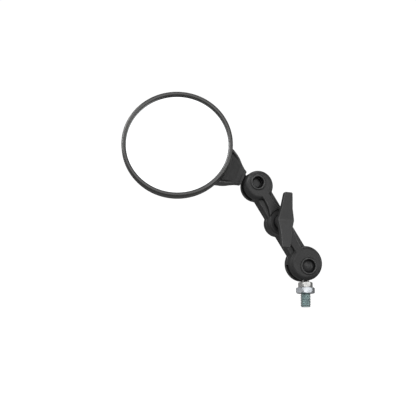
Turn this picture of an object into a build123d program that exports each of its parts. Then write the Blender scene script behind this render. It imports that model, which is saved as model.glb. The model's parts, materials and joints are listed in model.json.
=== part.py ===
from build123d import *
from math import cos, radians, sin, sqrt
import os

# Round bicycle mirror on a two-ball clamp arm, in millimetres.
# Origin: on the stud's axis, at the underside of the lock nut. +Z runs up the stud,
# -Y is the front, where the lever is, and the arm swings in the XZ plane.

# ---- Clearances ----
RUN_FIT = 0.05         # radial, shafts in bores
BALL_FIT = 0.08        # radial, balls in their cups
FREE_GAP = 0.3         # pieces that pass each other without touching
PART_GAP = 0.8         # between the parting faces of the two shells

# ---- Stud and its lock nut ----
THREAD_R = 4.0         # M8
THREAD_REACH = 10.4    # thread below the lock nut
RELIEF_R = 3.8         # thread relief behind the lock nut, under the hexagon
NUT_FLATS = 13.0
NUT_HEIGHT = 4.6
NUT_TURN = -5.0
HEX_FLATS = 10.0
HEX_HEIGHT = 4.1
HEX_TURN = -8.0
EDGE_BREAK = 0.5       # chamfer on turned and hexagon edges
HEAD_R = 5.0           # stud head inside the lower ball
HEAD_HEIGHT = 5.0
NECK_R = 2.95          # both necks that pass through the arm's end slots

# ---- Balls, cups and eyes ----
LOWER_BALL_R = 8.5
UPPER_BALL_R = 7.0
LOWER_RIM_R = 13.4     # outside of the lower cups
UPPER_RIM_R = 11.5
LOWER_INSET = 2.9      # cup outline's centre, inwards from the ball's centre
UPPER_INSET = 2.3
CUP_ROUND = 3.4        # round-over of the cups' fronts
SLOT_HALF = 3.2        # half the height of the slots for the necks
SLOT_DEPTH = 9.0       # slot, inwards from the ball's centre
LOWER_EYE_R = 5.2
UPPER_EYE_R = 4.5
EYE_LIP = 1.25         # raised ring round an eye
SWING_LIMIT = 50.0     # each way from the arm's line
EYE_POCKET_R = 3.3     # coring in the upper ball
EYE_POCKET_FLOOR = 3.5
SPIGOT_R = 2.1
SPIGOT_REACH = 4.2     # past the ball's centre
BALL_FLAT = 0.75       # flat on a ball where its neck leaves

# ---- Clamp arm ----
ARM_LEAN = 32.3        # degrees from the stud
BALL_SPACING = 75.1
BOLT_FROM_LOWER = 39.7
BAR_WIDTH = 13.3
BAR_TOP = 5.6
SPINE_TOP = 8.4
SPINE_WAIST = 5.8
EYE_TOP = 9.2
BOSS_R = 10.1
BOSS_TOP = 7.2         # of the front boss
REAR_BOSS_TOP = 8.2
BOSS_EDGE = 1.3        # chamfer round the boss
CORE_WIDTH = 7.2       # moulding cores in the parting faces
CORE_TOP = 3.4
CORE_WALL = 2.4        # left between a core and what is beside it

# ---- Clamp bolt, spring, washer ----
BOLT_R = 3.0           # M6
BOLT_HEAD_FLATS = 10.0
BOLT_HEAD_HEIGHT = 4.0
BOLT_TIP = 17.0
SPRING_WIRE = 1.0
SPRING_R = 4.7         # to the middle of the wire
SPRING_TURNS = 4
SPRING_POCKET = 3.6    # into each shell
WASHER_R = 6.4
WASHER_THICKNESS = 1.2

# ---- Wing lever ----
LEVER_LENGTH = 42.0
LEVER_WIDTH = 12.7
LEVER_WAIST = 8.8      # width of a wing beside the hub
LEVER_WAIST_AT = 9.0
LEVER_TIP_WIDTH = 6.5
LEVER_UNDER = 12.8     # underside of the wings at the hub
LEVER_TOP = 19.0       # top at the hub
LEVER_TIP_THICKNESS = 4.2
LEVER_RISE = 3.2       # tips above the hub
LEVER_TURN = 3.0       # clockwise from the stud, seen from the front
LEVER_CORNER = 1.2
HUB_R = 5.8
INSERT_R = 4.3

# ---- Mirror head ----
NECK_RISE = 24.2       # neck above the horizontal
HEAD_SPIN = 2.6        # head turned about its neck
GLASS_LEAN = 14.8      # glass against the neck's line
HEAD_REACH = 68.1      # ball's centre to the glass's centre
HEAD_FORWARD = 1.6
GLASS_VIEW_R = 39.1    # glass seen inside the bezel
GLASS_OVERLAP = 0.9    # glass under the bezel's lip
GLASS_THICKNESS = 2.0
GLASS_BULGE = 1.2
BEZEL_R = 42.5
BEZEL_FRONT = 2.2
BEZEL_BACK = -4.0
BEZEL_WALL = 1.1
BEZEL_ROUND = 1.4
LIP_UNDER = 0.2
PAD_THICKNESS = 1.2
PAD_WIDTH = 8.0
DISH_R = 42.3
DISH_BACK = -11.6      # middle of the dished back
DISH_RISE = 4.5        # of the back, from its middle to its edge
DISH_ROUND = 3.2
DISH_WALL = 2.0
FLARE_START = 10.9     # width across the flare at the neck's shoulder
FLARE_MIDDLE = 22.5    # and at FLARE_MIDDLE_AT
FLARE_END = 31.0       # and at FLARE_LENGTH
FLARE_MIDDLE_AT = 9.8
FLARE_LENGTH = 20.0    # from the neck's shoulder to full width
FLARE_HOLLOW = 0.55    # how far its edges curve in beside the neck
FLARE_CROWN = 0.25     # how far they curve out beside the bezel
FLARE_REACH = 38.0     # from the neck's shoulder to its end under the dish
FLARE_DROP = 1.65       # of its middle below the neck's line
START_DROP = 0.6       # more of it at the neck's shoulder
FLARE_HALF = 3.6       # half thickness at the neck
FLARE_BACK = 4.0
FLARE_RISE = 5.8       # ramp of the front face up to the bezel
FLARE_STEP = 2.2       # level part before the ramp
RIB_WIDTH = 1.8
RIB_HEIGHT = 2.0       # web below the ribs beside the bezel
WEB_START = 4.4        # from the neck's shoulder
WEB_ABOVE = 0.3        # web's line above the ramp where it starts


def slot_reach(rim_r, inset, swing):
    """Ball centre to the cup outline, at an angle off the arm's line."""
    turn = radians(swing)
    return sqrt(rim_r**2 - (inset * sin(turn)) ** 2) - inset * cos(turn)


past_part = 4 * LOWER_RIM_R  # for cuts that run out of a piece
hex_top = NUT_HEIGHT + HEX_HEIGHT
lower_ball_z = hex_top + FREE_GAP + slot_reach(LOWER_RIM_R, LOWER_INSET, SWING_LIMIT)
neck_shoulder = slot_reach(UPPER_RIM_R, UPPER_INSET, SWING_LIMIT) + FREE_GAP

# ---- Places and directions ----
front = Vector(0, -1, 0)
arm_dir = Vector(-sin(radians(ARM_LEAN)), 0, cos(radians(ARM_LEAN)))
neck_dir = Vector(-cos(radians(NECK_RISE)), 0, sin(radians(NECK_RISE)))
neck_up = Vector(sin(radians(NECK_RISE)), 0, cos(radians(NECK_RISE)))
lower_centre = Vector(0, 0, lower_ball_z)
upper_centre = lower_centre + arm_dir * BALL_SPACING
bolt_centre = lower_centre + arm_dir * BOLT_FROM_LOWER

stud_base = Plane.XY
arm_front = Plane(origin=lower_centre, x_dir=arm_dir, z_dir=front)
arm_rear = Plane(origin=lower_centre, x_dir=arm_dir, z_dir=front * -1)
head_front = front * cos(radians(HEAD_SPIN)) + neck_up * sin(radians(HEAD_SPIN))
head = Plane(origin=upper_centre, x_dir=neck_dir, z_dir=head_front)
head_profile = Plane(
    origin=upper_centre, x_dir=neck_dir, z_dir=neck_dir.cross(head_front)
)
neck_root = Plane(origin=upper_centre, x_dir=head_front, z_dir=neck_dir)
lean_cos, lean_sin = cos(radians(GLASS_LEAN)), sin(radians(GLASS_LEAN))
glass_front = head_front * lean_cos + neck_dir * lean_sin
glass_out = neck_dir * lean_cos - head_front * lean_sin
glass_centre = upper_centre + neck_dir * HEAD_REACH + head_front * HEAD_FORWARD
# Revolved profiles are drawn with Y along the glass's axis.
glass_profile = Plane(
    origin=glass_centre, x_dir=glass_out, z_dir=glass_out.cross(glass_front)
)
glass_axis = Axis(glass_centre, glass_front)
lever_dir = Vector(sin(radians(LEVER_TURN)), 0, cos(radians(LEVER_TURN)))
lever_plane = Plane(origin=bolt_centre, x_dir=lever_dir, z_dir=front)
lever_side = Plane(origin=bolt_centre, x_dir=lever_dir, z_dir=lever_dir.cross(front))


def save(part, name):
    part.label = name
    export_step(part, f"parts/{name}.step")


def ring_profile(plane, axis, points):
    """Closed straight-sided profile turned round an axis."""
    with BuildPart() as ring:
        with BuildSketch(plane):
            with BuildLine():
                Polyline(*points, close=True)
            make_face()
        revolve(axis=axis)
    return ring


def hexagon_bar(plane, flats, height, turn):
    """Hexagon prism with its corners turned down at both ends."""
    corner_r = flats / sqrt(3)
    with BuildPart() as barrel:
        with BuildSketch(plane):
            Circle(corner_r)
        extrude(amount=height)
        chamfer(barrel.edges().filter_by(GeomType.CIRCLE), EDGE_BREAK, corner_r - flats / 2)
    with BuildPart() as bar:
        with BuildSketch(plane):
            RegularPolygon(flats / 2, 6, major_radius=False, rotation=turn)
        extrude(amount=height)
        add(barrel.part, mode=Mode.INTERSECT)
    return bar


os.makedirs("parts", exist_ok=True)

# ---- Ball stud: thread, hexagon, neck and head in one piece of steel ----
with BuildPart() as ball_stud:
    with BuildSketch(stud_base.offset(-THREAD_REACH)):
        Circle(THREAD_R)
    extrude(amount=THREAD_REACH)
    chamfer(ball_stud.faces().sort_by(Axis.Z)[0].edges(), EDGE_BREAK)
    with BuildSketch(stud_base):
        Circle(RELIEF_R)
    extrude(amount=NUT_HEIGHT)
    add(hexagon_bar(stud_base.offset(NUT_HEIGHT), HEX_FLATS, HEX_HEIGHT, HEX_TURN).part)
    with BuildSketch(stud_base.offset(hex_top)):
        Circle(NECK_R)
    extrude(amount=lower_ball_z - hex_top)
    with BuildSketch(stud_base.offset(lower_ball_z - HEAD_HEIGHT / 2)):
        Circle(HEAD_R)
    extrude(amount=HEAD_HEIGHT)
save(ball_stud.part, "ball_stud")

# ---- Lock nut ----
with BuildPart() as lock_nut:
    add(hexagon_bar(stud_base, NUT_FLATS, NUT_HEIGHT, NUT_TURN).part)
    with BuildSketch(stud_base):
        Circle(THREAD_R + RUN_FIT)
    extrude(amount=NUT_HEIGHT, mode=Mode.SUBTRACT)
save(lock_nut.part, "lock_nut")

# ---- Lower ball, moulded over the stud's head ----
with BuildPart(Plane(lower_centre)) as lower_ball:
    Sphere(LOWER_BALL_R)
    with Locations((0, 0, -LOWER_BALL_R)):
        Box(
            2 * LOWER_BALL_R,
            2 * LOWER_BALL_R,
            2 * BALL_FLAT,
            mode=Mode.SUBTRACT,
        )
    Cylinder(HEAD_R + RUN_FIT, HEAD_HEIGHT + 2 * RUN_FIT, mode=Mode.SUBTRACT)
    with Locations((0, 0, -LOWER_BALL_R / 2)):
        Cylinder(NECK_R + RUN_FIT, LOWER_BALL_R, mode=Mode.SUBTRACT)
save(lower_ball.part, "lower_ball")

# ---- Upper ball, cored from the front, with a bore for the neck's spigot ----
with BuildPart(arm_front) as upper_ball:
    with Locations((BALL_SPACING, 0, 0)):
        Sphere(UPPER_BALL_R)
    with BuildSketch(arm_front.offset(EYE_POCKET_FLOOR)):
        with Locations((BALL_SPACING, 0)):
            Circle(EYE_POCKET_R)
    extrude(amount=UPPER_BALL_R, mode=Mode.SUBTRACT)
    with BuildSketch(neck_root.offset(UPPER_BALL_R - BALL_FLAT)):
        Circle(UPPER_BALL_R)
    extrude(amount=BALL_FLAT, mode=Mode.SUBTRACT)
    with BuildSketch(neck_root.offset(-SPIGOT_REACH - RUN_FIT)):
        Circle(SPIGOT_R + RUN_FIT)
    extrude(amount=SPIGOT_REACH + UPPER_BALL_R, mode=Mode.SUBTRACT)
save(upper_ball.part, "upper_ball")


def clamp_shell(side, boss_top):
    """One half of the arm: bar, two cups with eyes, waisted spine and bolt boss."""
    eyes = (
        (0, LOWER_BALL_R, LOWER_EYE_R),
        (BALL_SPACING, UPPER_BALL_R, UPPER_EYE_R),
    )
    from_base = (Align.CENTER, Align.CENTER, Align.MIN)
    with BuildPart(side) as shell:
        # Drum-shaped cups with rounded fronts.
        for at, rim_r in (
            (LOWER_INSET, LOWER_RIM_R),
            (BALL_SPACING - UPPER_INSET, UPPER_RIM_R),
        ):
            with Locations((at, 0, 0)):
                Cylinder(rim_r, SPINE_TOP, align=from_base)
        cup_fronts = shell.faces().sort_by(Axis(side.origin, side.z_dir))[-2:]
        fillet(cup_fronts.edges(), CUP_ROUND)
        # Bar between the cups.
        with BuildSketch(side):
            with Locations((BALL_SPACING / 2, 0)):
                Rectangle(BALL_SPACING - 2 * LOWER_INSET, BAR_WIDTH)
        extrude(amount=BAR_TOP)
        # Spine with a waist on each side of the boss.
        with BuildSketch(side):
            for ball_at, near_at, near_half in (
                (0, LOWER_INSET, LOWER_EYE_R + EYE_LIP),
                (BALL_SPACING, BALL_SPACING - UPPER_INSET, UPPER_EYE_R + EYE_LIP),
            ):
                near = (near_at, near_half)
                waist = ((ball_at + BOLT_FROM_LOWER) / 2, SPINE_WAIST / 2)
                toward = 1 if ball_at > BOLT_FROM_LOWER else -1
                far = (BOLT_FROM_LOWER + toward * BOSS_R / 2, BOSS_R - 2 * BOSS_EDGE)
                with BuildLine():
                    ThreePointArc(near, waist, far)
                    Line(far, (far[0], -far[1]))
                    ThreePointArc(
                        (far[0], -far[1]), (waist[0], -waist[1]), (near[0], -near[1])
                    )
                    Line((near[0], -near[1]), near)
                make_face()
        extrude(amount=SPINE_TOP)
        # Raised rings round the eyes.
        with BuildSketch(side.offset(BAR_TOP)):
            for at, _, eye_r in eyes:
                with Locations((at, 0)):
                    Circle(eye_r + EYE_LIP)
        extrude(amount=EYE_TOP - BAR_TOP)
        # Bolt boss, clear of the spine above its own top.
        with BuildSketch(side.offset(boss_top)):
            with Locations((BOLT_FROM_LOWER, 0)):
                Circle(BOSS_R)
        extrude(amount=EYE_TOP, mode=Mode.SUBTRACT)
        with Locations((BOLT_FROM_LOWER, 0, 0)):
            Cylinder(BOSS_R, boss_top - BOSS_EDGE, align=from_base)
        with Locations((BOLT_FROM_LOWER, 0, boss_top - BOSS_EDGE)):
            Cone(BOSS_R, BOSS_R - BOSS_EDGE, BOSS_EDGE, align=from_base)
        # Parting face, and the slots that the necks swing in.
        with Locations((BALL_SPACING / 2, 0, PART_GAP / 2)):
            Box(
                BALL_SPACING + past_part,
                past_part,
                past_part,
                align=(Align.CENTER, Align.CENTER, Align.MAX),
                mode=Mode.SUBTRACT,
            )
        for at, away in ((SLOT_DEPTH, Align.MAX), (BALL_SPACING - SLOT_DEPTH, Align.MIN)):
            with Locations((at, 0, 0)):
                Box(
                    past_part,
                    past_part,
                    2 * SLOT_HALF,
                    align=(away, Align.CENTER, Align.CENTER),
                    mode=Mode.SUBTRACT,
                )
        # Cups and eyes.
        for at, ball_r, eye_r in eyes:
            with Locations((at, 0, 0)):
                Sphere(ball_r + BALL_FIT, mode=Mode.SUBTRACT)
                Cylinder(eye_r, 2 * (EYE_TOP + FREE_GAP), mode=Mode.SUBTRACT)
        # Bolt hole, spring pocket and moulding cores.
        with Locations((BOLT_FROM_LOWER, 0, 0)):
            Cylinder(BOLT_R + FREE_GAP, 2 * (boss_top + FREE_GAP), mode=Mode.SUBTRACT)
            Cylinder(
                SPRING_R + SPRING_WIRE,
                2 * SPRING_POCKET,
                mode=Mode.SUBTRACT,
            )
        for low, high in (
            (SLOT_DEPTH + 2 * CORE_WALL, BOLT_FROM_LOWER - BOSS_R),
            (BOLT_FROM_LOWER + BOSS_R, BALL_SPACING - SLOT_DEPTH - 2 * CORE_WALL),
        ):
            with Locations(((low + high) / 2, 0, 0)):
                Box(high - low, CORE_WIDTH, 2 * CORE_TOP, mode=Mode.SUBTRACT)
    return shell


# ---- Front shell: plain bolt hole under the washer ----
front_shell = clamp_shell(arm_front, BOSS_TOP)
save(front_shell.part, "front_shell")

# ---- Rear shell: deeper boss with a hexagon pocket that keeps the bolt from turning ----
rear_shell = clamp_shell(arm_rear, REAR_BOSS_TOP)
with BuildPart() as rear_shell_pocketed:
    add(rear_shell.part)
    with BuildSketch(arm_rear.offset(REAR_BOSS_TOP - BOLT_HEAD_HEIGHT)):
        with Locations((BOLT_FROM_LOWER, 0)):
            RegularPolygon(BOLT_HEAD_FLATS / 2 + RUN_FIT, 6, major_radius=False)
    extrude(amount=BOLT_HEAD_HEIGHT, mode=Mode.SUBTRACT)
save(rear_shell_pocketed.part, "rear_shell")

# ---- Clamp bolt, from the rear pocket to inside the lever ----
with BuildPart() as clamp_bolt:
    with BuildSketch(arm_rear.offset(REAR_BOSS_TOP - BOLT_HEAD_HEIGHT)):
        with Locations((BOLT_FROM_LOWER, 0)):
            RegularPolygon(BOLT_HEAD_FLATS / 2, 6, major_radius=False)
    extrude(amount=BOLT_HEAD_HEIGHT)
    with BuildSketch(arm_front.offset(-REAR_BOSS_TOP + BOLT_HEAD_HEIGHT)):
        with Locations((BOLT_FROM_LOWER, 0)):
            Circle(BOLT_R)
    extrude(amount=REAR_BOSS_TOP - BOLT_HEAD_HEIGHT + BOLT_TIP)
    chamfer(clamp_bolt.faces().sort_by(Axis.Y)[0].edges(), EDGE_BREAK)
save(clamp_bolt.part, "clamp_bolt")

# ---- Clamp spring, between the bottoms of the two pockets ----
spring_height = 2 * SPRING_POCKET - SPRING_WIRE - 4 * RUN_FIT
spring_start = bolt_centre - front * (spring_height / 2)
with BuildPart() as clamp_spring:
    with BuildLine() as coil:
        Helix(
            spring_height / SPRING_TURNS,
            spring_height,
            SPRING_R,
            center=spring_start,
            direction=front,
        )
    with BuildSketch(Plane(origin=coil.line @ 0, z_dir=coil.line % 0)):
        Circle(SPRING_WIRE / 2)
    sweep(path=coil.line, is_frenet=True)
save(clamp_spring.part, "clamp_spring")

# ---- Washer between the front shell and the lever's hub ----
washer_top = BOSS_TOP + WASHER_THICKNESS
with BuildPart() as lever_washer:
    with BuildSketch(lever_plane.offset(BOSS_TOP)):
        Circle(WASHER_R)
        Circle(BOLT_R + RUN_FIT, mode=Mode.SUBTRACT)
    extrude(amount=WASHER_THICKNESS)
save(lever_washer.part, "lever_washer")

# ---- Threaded insert in the lever's hub ----
insert_base = washer_top + RUN_FIT
with BuildPart() as lever_insert:
    with BuildSketch(lever_plane.offset(insert_base)):
        Circle(INSERT_R)
        Circle(BOLT_R + RUN_FIT, mode=Mode.SUBTRACT)
    extrude(amount=BOLT_TIP + RUN_FIT - insert_base)
save(lever_insert.part, "lever_insert")

# ---- Wing lever: two tapered wings that rise from the hub to their tips ----
tip = LEVER_LENGTH / 2
tip_top = LEVER_TOP + LEVER_RISE
with BuildPart() as wing_lever:
    with BuildSketch(lever_plane) as plan_view:
        with BuildLine():
            Polyline(
                (-tip, -LEVER_TIP_WIDTH / 2),
                (-LEVER_WAIST_AT, -LEVER_WAIST / 2),
                (0, -LEVER_WIDTH / 2),
                (LEVER_WAIST_AT, -LEVER_WAIST / 2),
                (tip, -LEVER_TIP_WIDTH / 2),
                (tip, LEVER_TIP_WIDTH / 2),
                (LEVER_WAIST_AT, LEVER_WAIST / 2),
                (0, LEVER_WIDTH / 2),
                (-LEVER_WAIST_AT, LEVER_WAIST / 2),
                (-tip, LEVER_TIP_WIDTH / 2),
                close=True,
            )
        make_face()
        fillet(plan_view.vertices(), LEVER_CORNER)
    extrude(amount=tip_top)
    with BuildSketch(lever_side):
        with BuildLine():
            Polyline(
                (-tip, tip_top - LEVER_TIP_THICKNESS),
                (0, LEVER_UNDER),
                (tip, tip_top - LEVER_TIP_THICKNESS),
                (tip, tip_top),
                (0, LEVER_TOP),
                (-tip, tip_top),
                close=True,
            )
        make_face()
    extrude(amount=LEVER_WIDTH, both=True, mode=Mode.INTERSECT)
    with BuildSketch(lever_plane.offset(insert_base)):
        Circle(HUB_R)
    extrude(amount=(LEVER_UNDER + LEVER_TOP) / 2 - insert_base)
    with BuildSketch(lever_plane.offset(insert_base)):
        Circle(INSERT_R)
    extrude(amount=BOLT_TIP + RUN_FIT - insert_base, mode=Mode.SUBTRACT)
save(wing_lever.part, "wing_lever")

# ---- Mirror glass: shallow convex disc ----
glass_r = GLASS_VIEW_R + GLASS_OVERLAP
with BuildPart() as mirror_glass:
    with BuildSketch(glass_profile):
        with BuildLine():
            ThreePointArc(
                (-glass_r, 0),
                (0, GLASS_BULGE),
                (glass_r, 0),
            )
            Line((glass_r, 0), (glass_r, -GLASS_THICKNESS))
            Line((glass_r, -GLASS_THICKNESS), (-glass_r, -GLASS_THICKNESS))
            Line((-glass_r, -GLASS_THICKNESS), (-glass_r, 0))
        make_face()
        with Locations((-glass_r, 0)):
            Rectangle(2 * glass_r, 4 * glass_r, mode=Mode.SUBTRACT)
    revolve(axis=glass_axis)
save(mirror_glass.part, "mirror_glass")

# ---- Foam ring behind the glass ----
pad_top = -GLASS_THICKNESS
pad_back = pad_top - PAD_THICKNESS
glass_pad = ring_profile(
    glass_profile,
    glass_axis,
    [
        (glass_r - PAD_WIDTH, pad_back),
        (glass_r, pad_back),
        (glass_r, pad_top),
        (glass_r - PAD_WIDTH, pad_top),
    ],
)
save(glass_pad.part, "glass_pad")

# ---- Bezel: snap ring with a rounded lip over the glass ----
skirt_r = BEZEL_R - BEZEL_WALL
rim_bezel = ring_profile(
    glass_profile,
    glass_axis,
    [
        (GLASS_VIEW_R, LIP_UNDER),
        (skirt_r, LIP_UNDER),
        (skirt_r, BEZEL_BACK),
        (BEZEL_R, BEZEL_BACK),
        (BEZEL_R, BEZEL_FRONT),
        (GLASS_VIEW_R, BEZEL_FRONT),
    ],
)
with rim_bezel:
    lip_face = rim_bezel.faces().filter_by(GeomType.PLANE).sort_by(glass_axis)[-1]
    fillet(lip_face.edges(), BEZEL_ROUND)
save(rim_bezel.part, "rim_bezel")

# ---- Mirror housing: dished back, flared neck with two ribs, spigot for the ball ----
pocket_r = glass_r + RUN_FIT
hollow_r = glass_r - PAD_WIDTH


def dish_depth(r, middle):
    return middle + DISH_RISE * (r / DISH_R) ** 2


with BuildPart() as dish_envelope:
    with BuildSketch(glass_profile) as dish_section:
        with BuildLine():
            ThreePointArc(
                (0, DISH_BACK),
                (DISH_R / 2, dish_depth(DISH_R / 2, DISH_BACK)),
                (DISH_R, dish_depth(DISH_R, DISH_BACK)),
            )
            Polyline(
                (DISH_R, dish_depth(DISH_R, DISH_BACK)),
                (DISH_R, BEZEL_BACK - RUN_FIT),
                (BEZEL_R + RUN_FIT, BEZEL_BACK - RUN_FIT),
                (BEZEL_R + RUN_FIT, BEZEL_R),
                (0, BEZEL_R),
                (0, DISH_BACK),
            )
        make_face()
        dish_corner = (DISH_R, dish_depth(DISH_R, DISH_BACK))
        fillet(dish_section.vertices().sort_by_distance(dish_corner)[0], DISH_ROUND)
    revolve(axis=glass_axis)

with BuildPart() as flare_side:
    with BuildSketch(head_profile):
        with BuildLine():
            Polyline(
                (neck_shoulder, -FLARE_HALF),
                (neck_shoulder, FLARE_HALF),
                (neck_shoulder + FLARE_STEP, FLARE_HALF),
                (neck_shoulder + FLARE_LENGTH, FLARE_HALF + FLARE_RISE),
                (neck_shoulder + FLARE_REACH, FLARE_HALF + FLARE_RISE),
                (neck_shoulder + FLARE_REACH, -FLARE_BACK),
                close=True,
            )
        make_face()
    extrude(amount=FLARE_END, both=True)

with BuildPart() as flare:
    with BuildSketch(head.offset(-FLARE_BACK)):
        with Locations((0, FLARE_DROP)):
            with BuildLine():
                narrow, middle, wide = FLARE_START / 2, FLARE_MIDDLE / 2, FLARE_END / 2
                middle_at = neck_shoulder + FLARE_MIDDLE_AT
                full_at = neck_shoulder + FLARE_LENGTH
                Line(
                    (neck_shoulder, START_DROP + narrow),
                    (neck_shoulder, START_DROP - narrow),
                )
                for side in (-1, 1):
                    ThreePointArc(
                        (neck_shoulder, START_DROP + side * narrow),
                        (
                            (neck_shoulder + middle_at) / 2,
                            START_DROP / 2 + side * ((narrow + middle) / 2 - FLARE_HOLLOW),
                        ),
                        (middle_at, side * middle),
                    )
                    ThreePointArc(
                        (middle_at, side * middle),
                        (
                            (middle_at + full_at) / 2,
                            side * ((middle + wide) / 2 + FLARE_CROWN),
                        ),
                        (full_at, side * wide),
                    )
                ThreePointArc(
                    (full_at, -wide), (neck_shoulder + FLARE_REACH, 0), (full_at, wide)
                )
            make_face()
    extrude(amount=FLARE_BACK + FLARE_HALF + FLARE_RISE)
    add(flare_side.part, mode=Mode.INTERSECT)


def ramp_height(along):
    """Front face of the flare, at a distance from the neck's shoulder."""
    share = (along - FLARE_STEP) / (FLARE_LENGTH - FLARE_STEP)
    return FLARE_HALF + FLARE_RISE * share


with BuildPart() as web_gap:
    with BuildSketch(head_profile):
        with BuildLine():
            Polyline(
                (neck_shoulder + WEB_START, ramp_height(WEB_START) + WEB_ABOVE),
                (full_at, FLARE_HALF + FLARE_RISE - RIB_HEIGHT),
                (full_at, FLARE_HALF + 2 * FLARE_RISE),
                (neck_shoulder + WEB_START, FLARE_HALF + 2 * FLARE_RISE),
                close=True,
            )
        make_face()
    extrude(amount=FLARE_END, both=True)
    with BuildSketch(head):
        with Locations((0, FLARE_DROP)):
            with BuildLine():
                start_half = (narrow + middle) / 2 - FLARE_HOLLOW - RIB_WIDTH
                Polyline(
                    (neck_shoulder + WEB_START, START_DROP / 2 - start_half),
                    (middle_at, RIB_WIDTH - middle),
                    (full_at, RIB_WIDTH - wide),
                    (full_at, wide - RIB_WIDTH),
                    (middle_at, middle - RIB_WIDTH),
                    (neck_shoulder + WEB_START, START_DROP / 2 + start_half),
                    close=True,
                )
            make_face()
    extrude(amount=FLARE_HALF + 2 * FLARE_RISE, mode=Mode.INTERSECT)

with BuildPart() as mirror_housing:
    add(flare.part)
    add(web_gap.part, mode=Mode.SUBTRACT)
    add(dish_envelope.part, mode=Mode.SUBTRACT)
    add(dish_envelope.part)
    # Bore for the bezel's skirt, the glass, the pad and the hollow behind them.
    with BuildSketch(glass_profile):
        with BuildLine():
            Polyline(
                (hollow_r, dish_depth(hollow_r, DISH_BACK + DISH_WALL)),
                (hollow_r, pad_back),
                (pocket_r, pad_back),
                (pocket_r, LIP_UNDER - RUN_FIT),
                (skirt_r - RUN_FIT, LIP_UNDER - RUN_FIT),
                (skirt_r - RUN_FIT, BEZEL_BACK - RUN_FIT),
                (2 * BEZEL_R, BEZEL_BACK - RUN_FIT),
                (2 * BEZEL_R, 2 * BEZEL_R),
                (0, 2 * BEZEL_R),
                (0, DISH_BACK + DISH_WALL),
            )
            ThreePointArc(
                (0, DISH_BACK + DISH_WALL),
                (hollow_r / 2, dish_depth(hollow_r / 2, DISH_BACK + DISH_WALL)),
                (hollow_r, dish_depth(hollow_r, DISH_BACK + DISH_WALL)),
            )
        make_face()
    revolve(axis=glass_axis, mode=Mode.SUBTRACT)
    # Round neck and the spigot inside the ball.
    with BuildSketch(neck_root.offset(UPPER_BALL_R - BALL_FLAT + RUN_FIT)):
        Circle(NECK_R)
    extrude(amount=neck_shoulder + FLARE_STEP - UPPER_BALL_R + BALL_FLAT)
    with BuildSketch(neck_root.offset(-SPIGOT_REACH)):
        Circle(SPIGOT_R)
    extrude(amount=SPIGOT_REACH + neck_shoulder)
save(mirror_housing.part, "mirror_housing")
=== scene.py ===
import json
import math

import bmesh
import bpy
import numpy as np
from mathutils import Matrix, Vector


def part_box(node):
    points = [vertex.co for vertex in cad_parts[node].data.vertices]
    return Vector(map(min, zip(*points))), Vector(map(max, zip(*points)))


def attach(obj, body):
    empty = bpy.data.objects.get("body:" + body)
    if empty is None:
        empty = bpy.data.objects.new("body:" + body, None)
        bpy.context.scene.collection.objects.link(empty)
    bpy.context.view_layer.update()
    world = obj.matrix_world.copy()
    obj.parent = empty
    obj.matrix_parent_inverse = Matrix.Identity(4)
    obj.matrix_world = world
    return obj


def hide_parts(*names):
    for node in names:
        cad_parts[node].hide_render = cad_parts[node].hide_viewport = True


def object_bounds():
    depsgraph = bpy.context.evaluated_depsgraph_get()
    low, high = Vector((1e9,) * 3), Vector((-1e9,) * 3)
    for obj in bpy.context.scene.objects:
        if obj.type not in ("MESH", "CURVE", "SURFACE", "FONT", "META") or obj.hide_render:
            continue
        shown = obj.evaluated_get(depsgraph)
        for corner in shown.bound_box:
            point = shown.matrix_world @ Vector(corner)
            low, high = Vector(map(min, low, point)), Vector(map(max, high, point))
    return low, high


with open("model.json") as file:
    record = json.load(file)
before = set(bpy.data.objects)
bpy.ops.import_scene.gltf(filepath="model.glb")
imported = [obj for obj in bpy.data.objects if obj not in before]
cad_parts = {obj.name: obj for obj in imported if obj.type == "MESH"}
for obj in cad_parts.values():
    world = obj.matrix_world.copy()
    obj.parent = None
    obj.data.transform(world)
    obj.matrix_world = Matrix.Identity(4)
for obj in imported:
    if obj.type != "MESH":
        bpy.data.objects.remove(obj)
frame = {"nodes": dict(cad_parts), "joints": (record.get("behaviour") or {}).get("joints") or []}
cad_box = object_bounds()


# ---- Ball stud ----
# One turned piece of zinc-plated steel. The M8 thread is rolled, and above it come a
# hexagon for a spanner, a plain neck, and the head that the lower ball is moulded over.

THREAD_CREST = 0.00398
THREAD_ROOT = 0.00332
THREAD_PITCH = 0.00125
THREAD_RUN_OUT = 0.0011
RELIEF_R = 0.0038
STUD_HEX_FLATS = 0.0100
STUD_HEX_TURN = math.radians(-8)
STUD_HEX_HEIGHT = 0.0041
STUD_NECK_R = 0.00290
STUD_HEAD_R = 0.0050
STUD_HEAD_HALF = 0.0025
NECK_FILLET = 0.0005
EDGE_BREAK = 0.0003
TURNING_STEPS = 144

joint_at = {joint["name"]: Vector(joint.get("pos_m", (0, 0, 0))) for joint in frame["joints"]}
joint_axis = {joint["name"]: Vector(joint["axis"]) for joint in frame["joints"]}
lower_ball_at = joint_at["lower_swing"]
thread_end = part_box("ball_stud")[0].z
nut_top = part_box("lock_nut")[1].z


def node(tree, kind, inputs=None, **settings):
    """Adds a node, with its settings and its inputs, each a value or another node's output."""
    made = tree.nodes.new(kind)
    for key, value in settings.items():
        setattr(made, key, value)
    for key, value in (inputs or {}).items():
        if isinstance(value, bpy.types.NodeSocket):
            tree.links.new(value, made.inputs[key])
        else:
            made.inputs[key].default_value = value
    return made


def math_of(tree, operation, *values):
    """The result of one sum on values or other nodes' outputs."""
    return node(tree, "ShaderNodeMath", dict(enumerate(values)), operation=operation).outputs[0]


def between(tree, value, low, high, from_low=0.0, from_high=1.0):
    """A value spread evenly from low to high, and held at the ends."""
    return node(
        tree,
        "ShaderNodeMapRange",
        {"Value": value, "From Min": from_low, "From Max": from_high, "To Min": low, "To Max": high},
    ).outputs[0]


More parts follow.
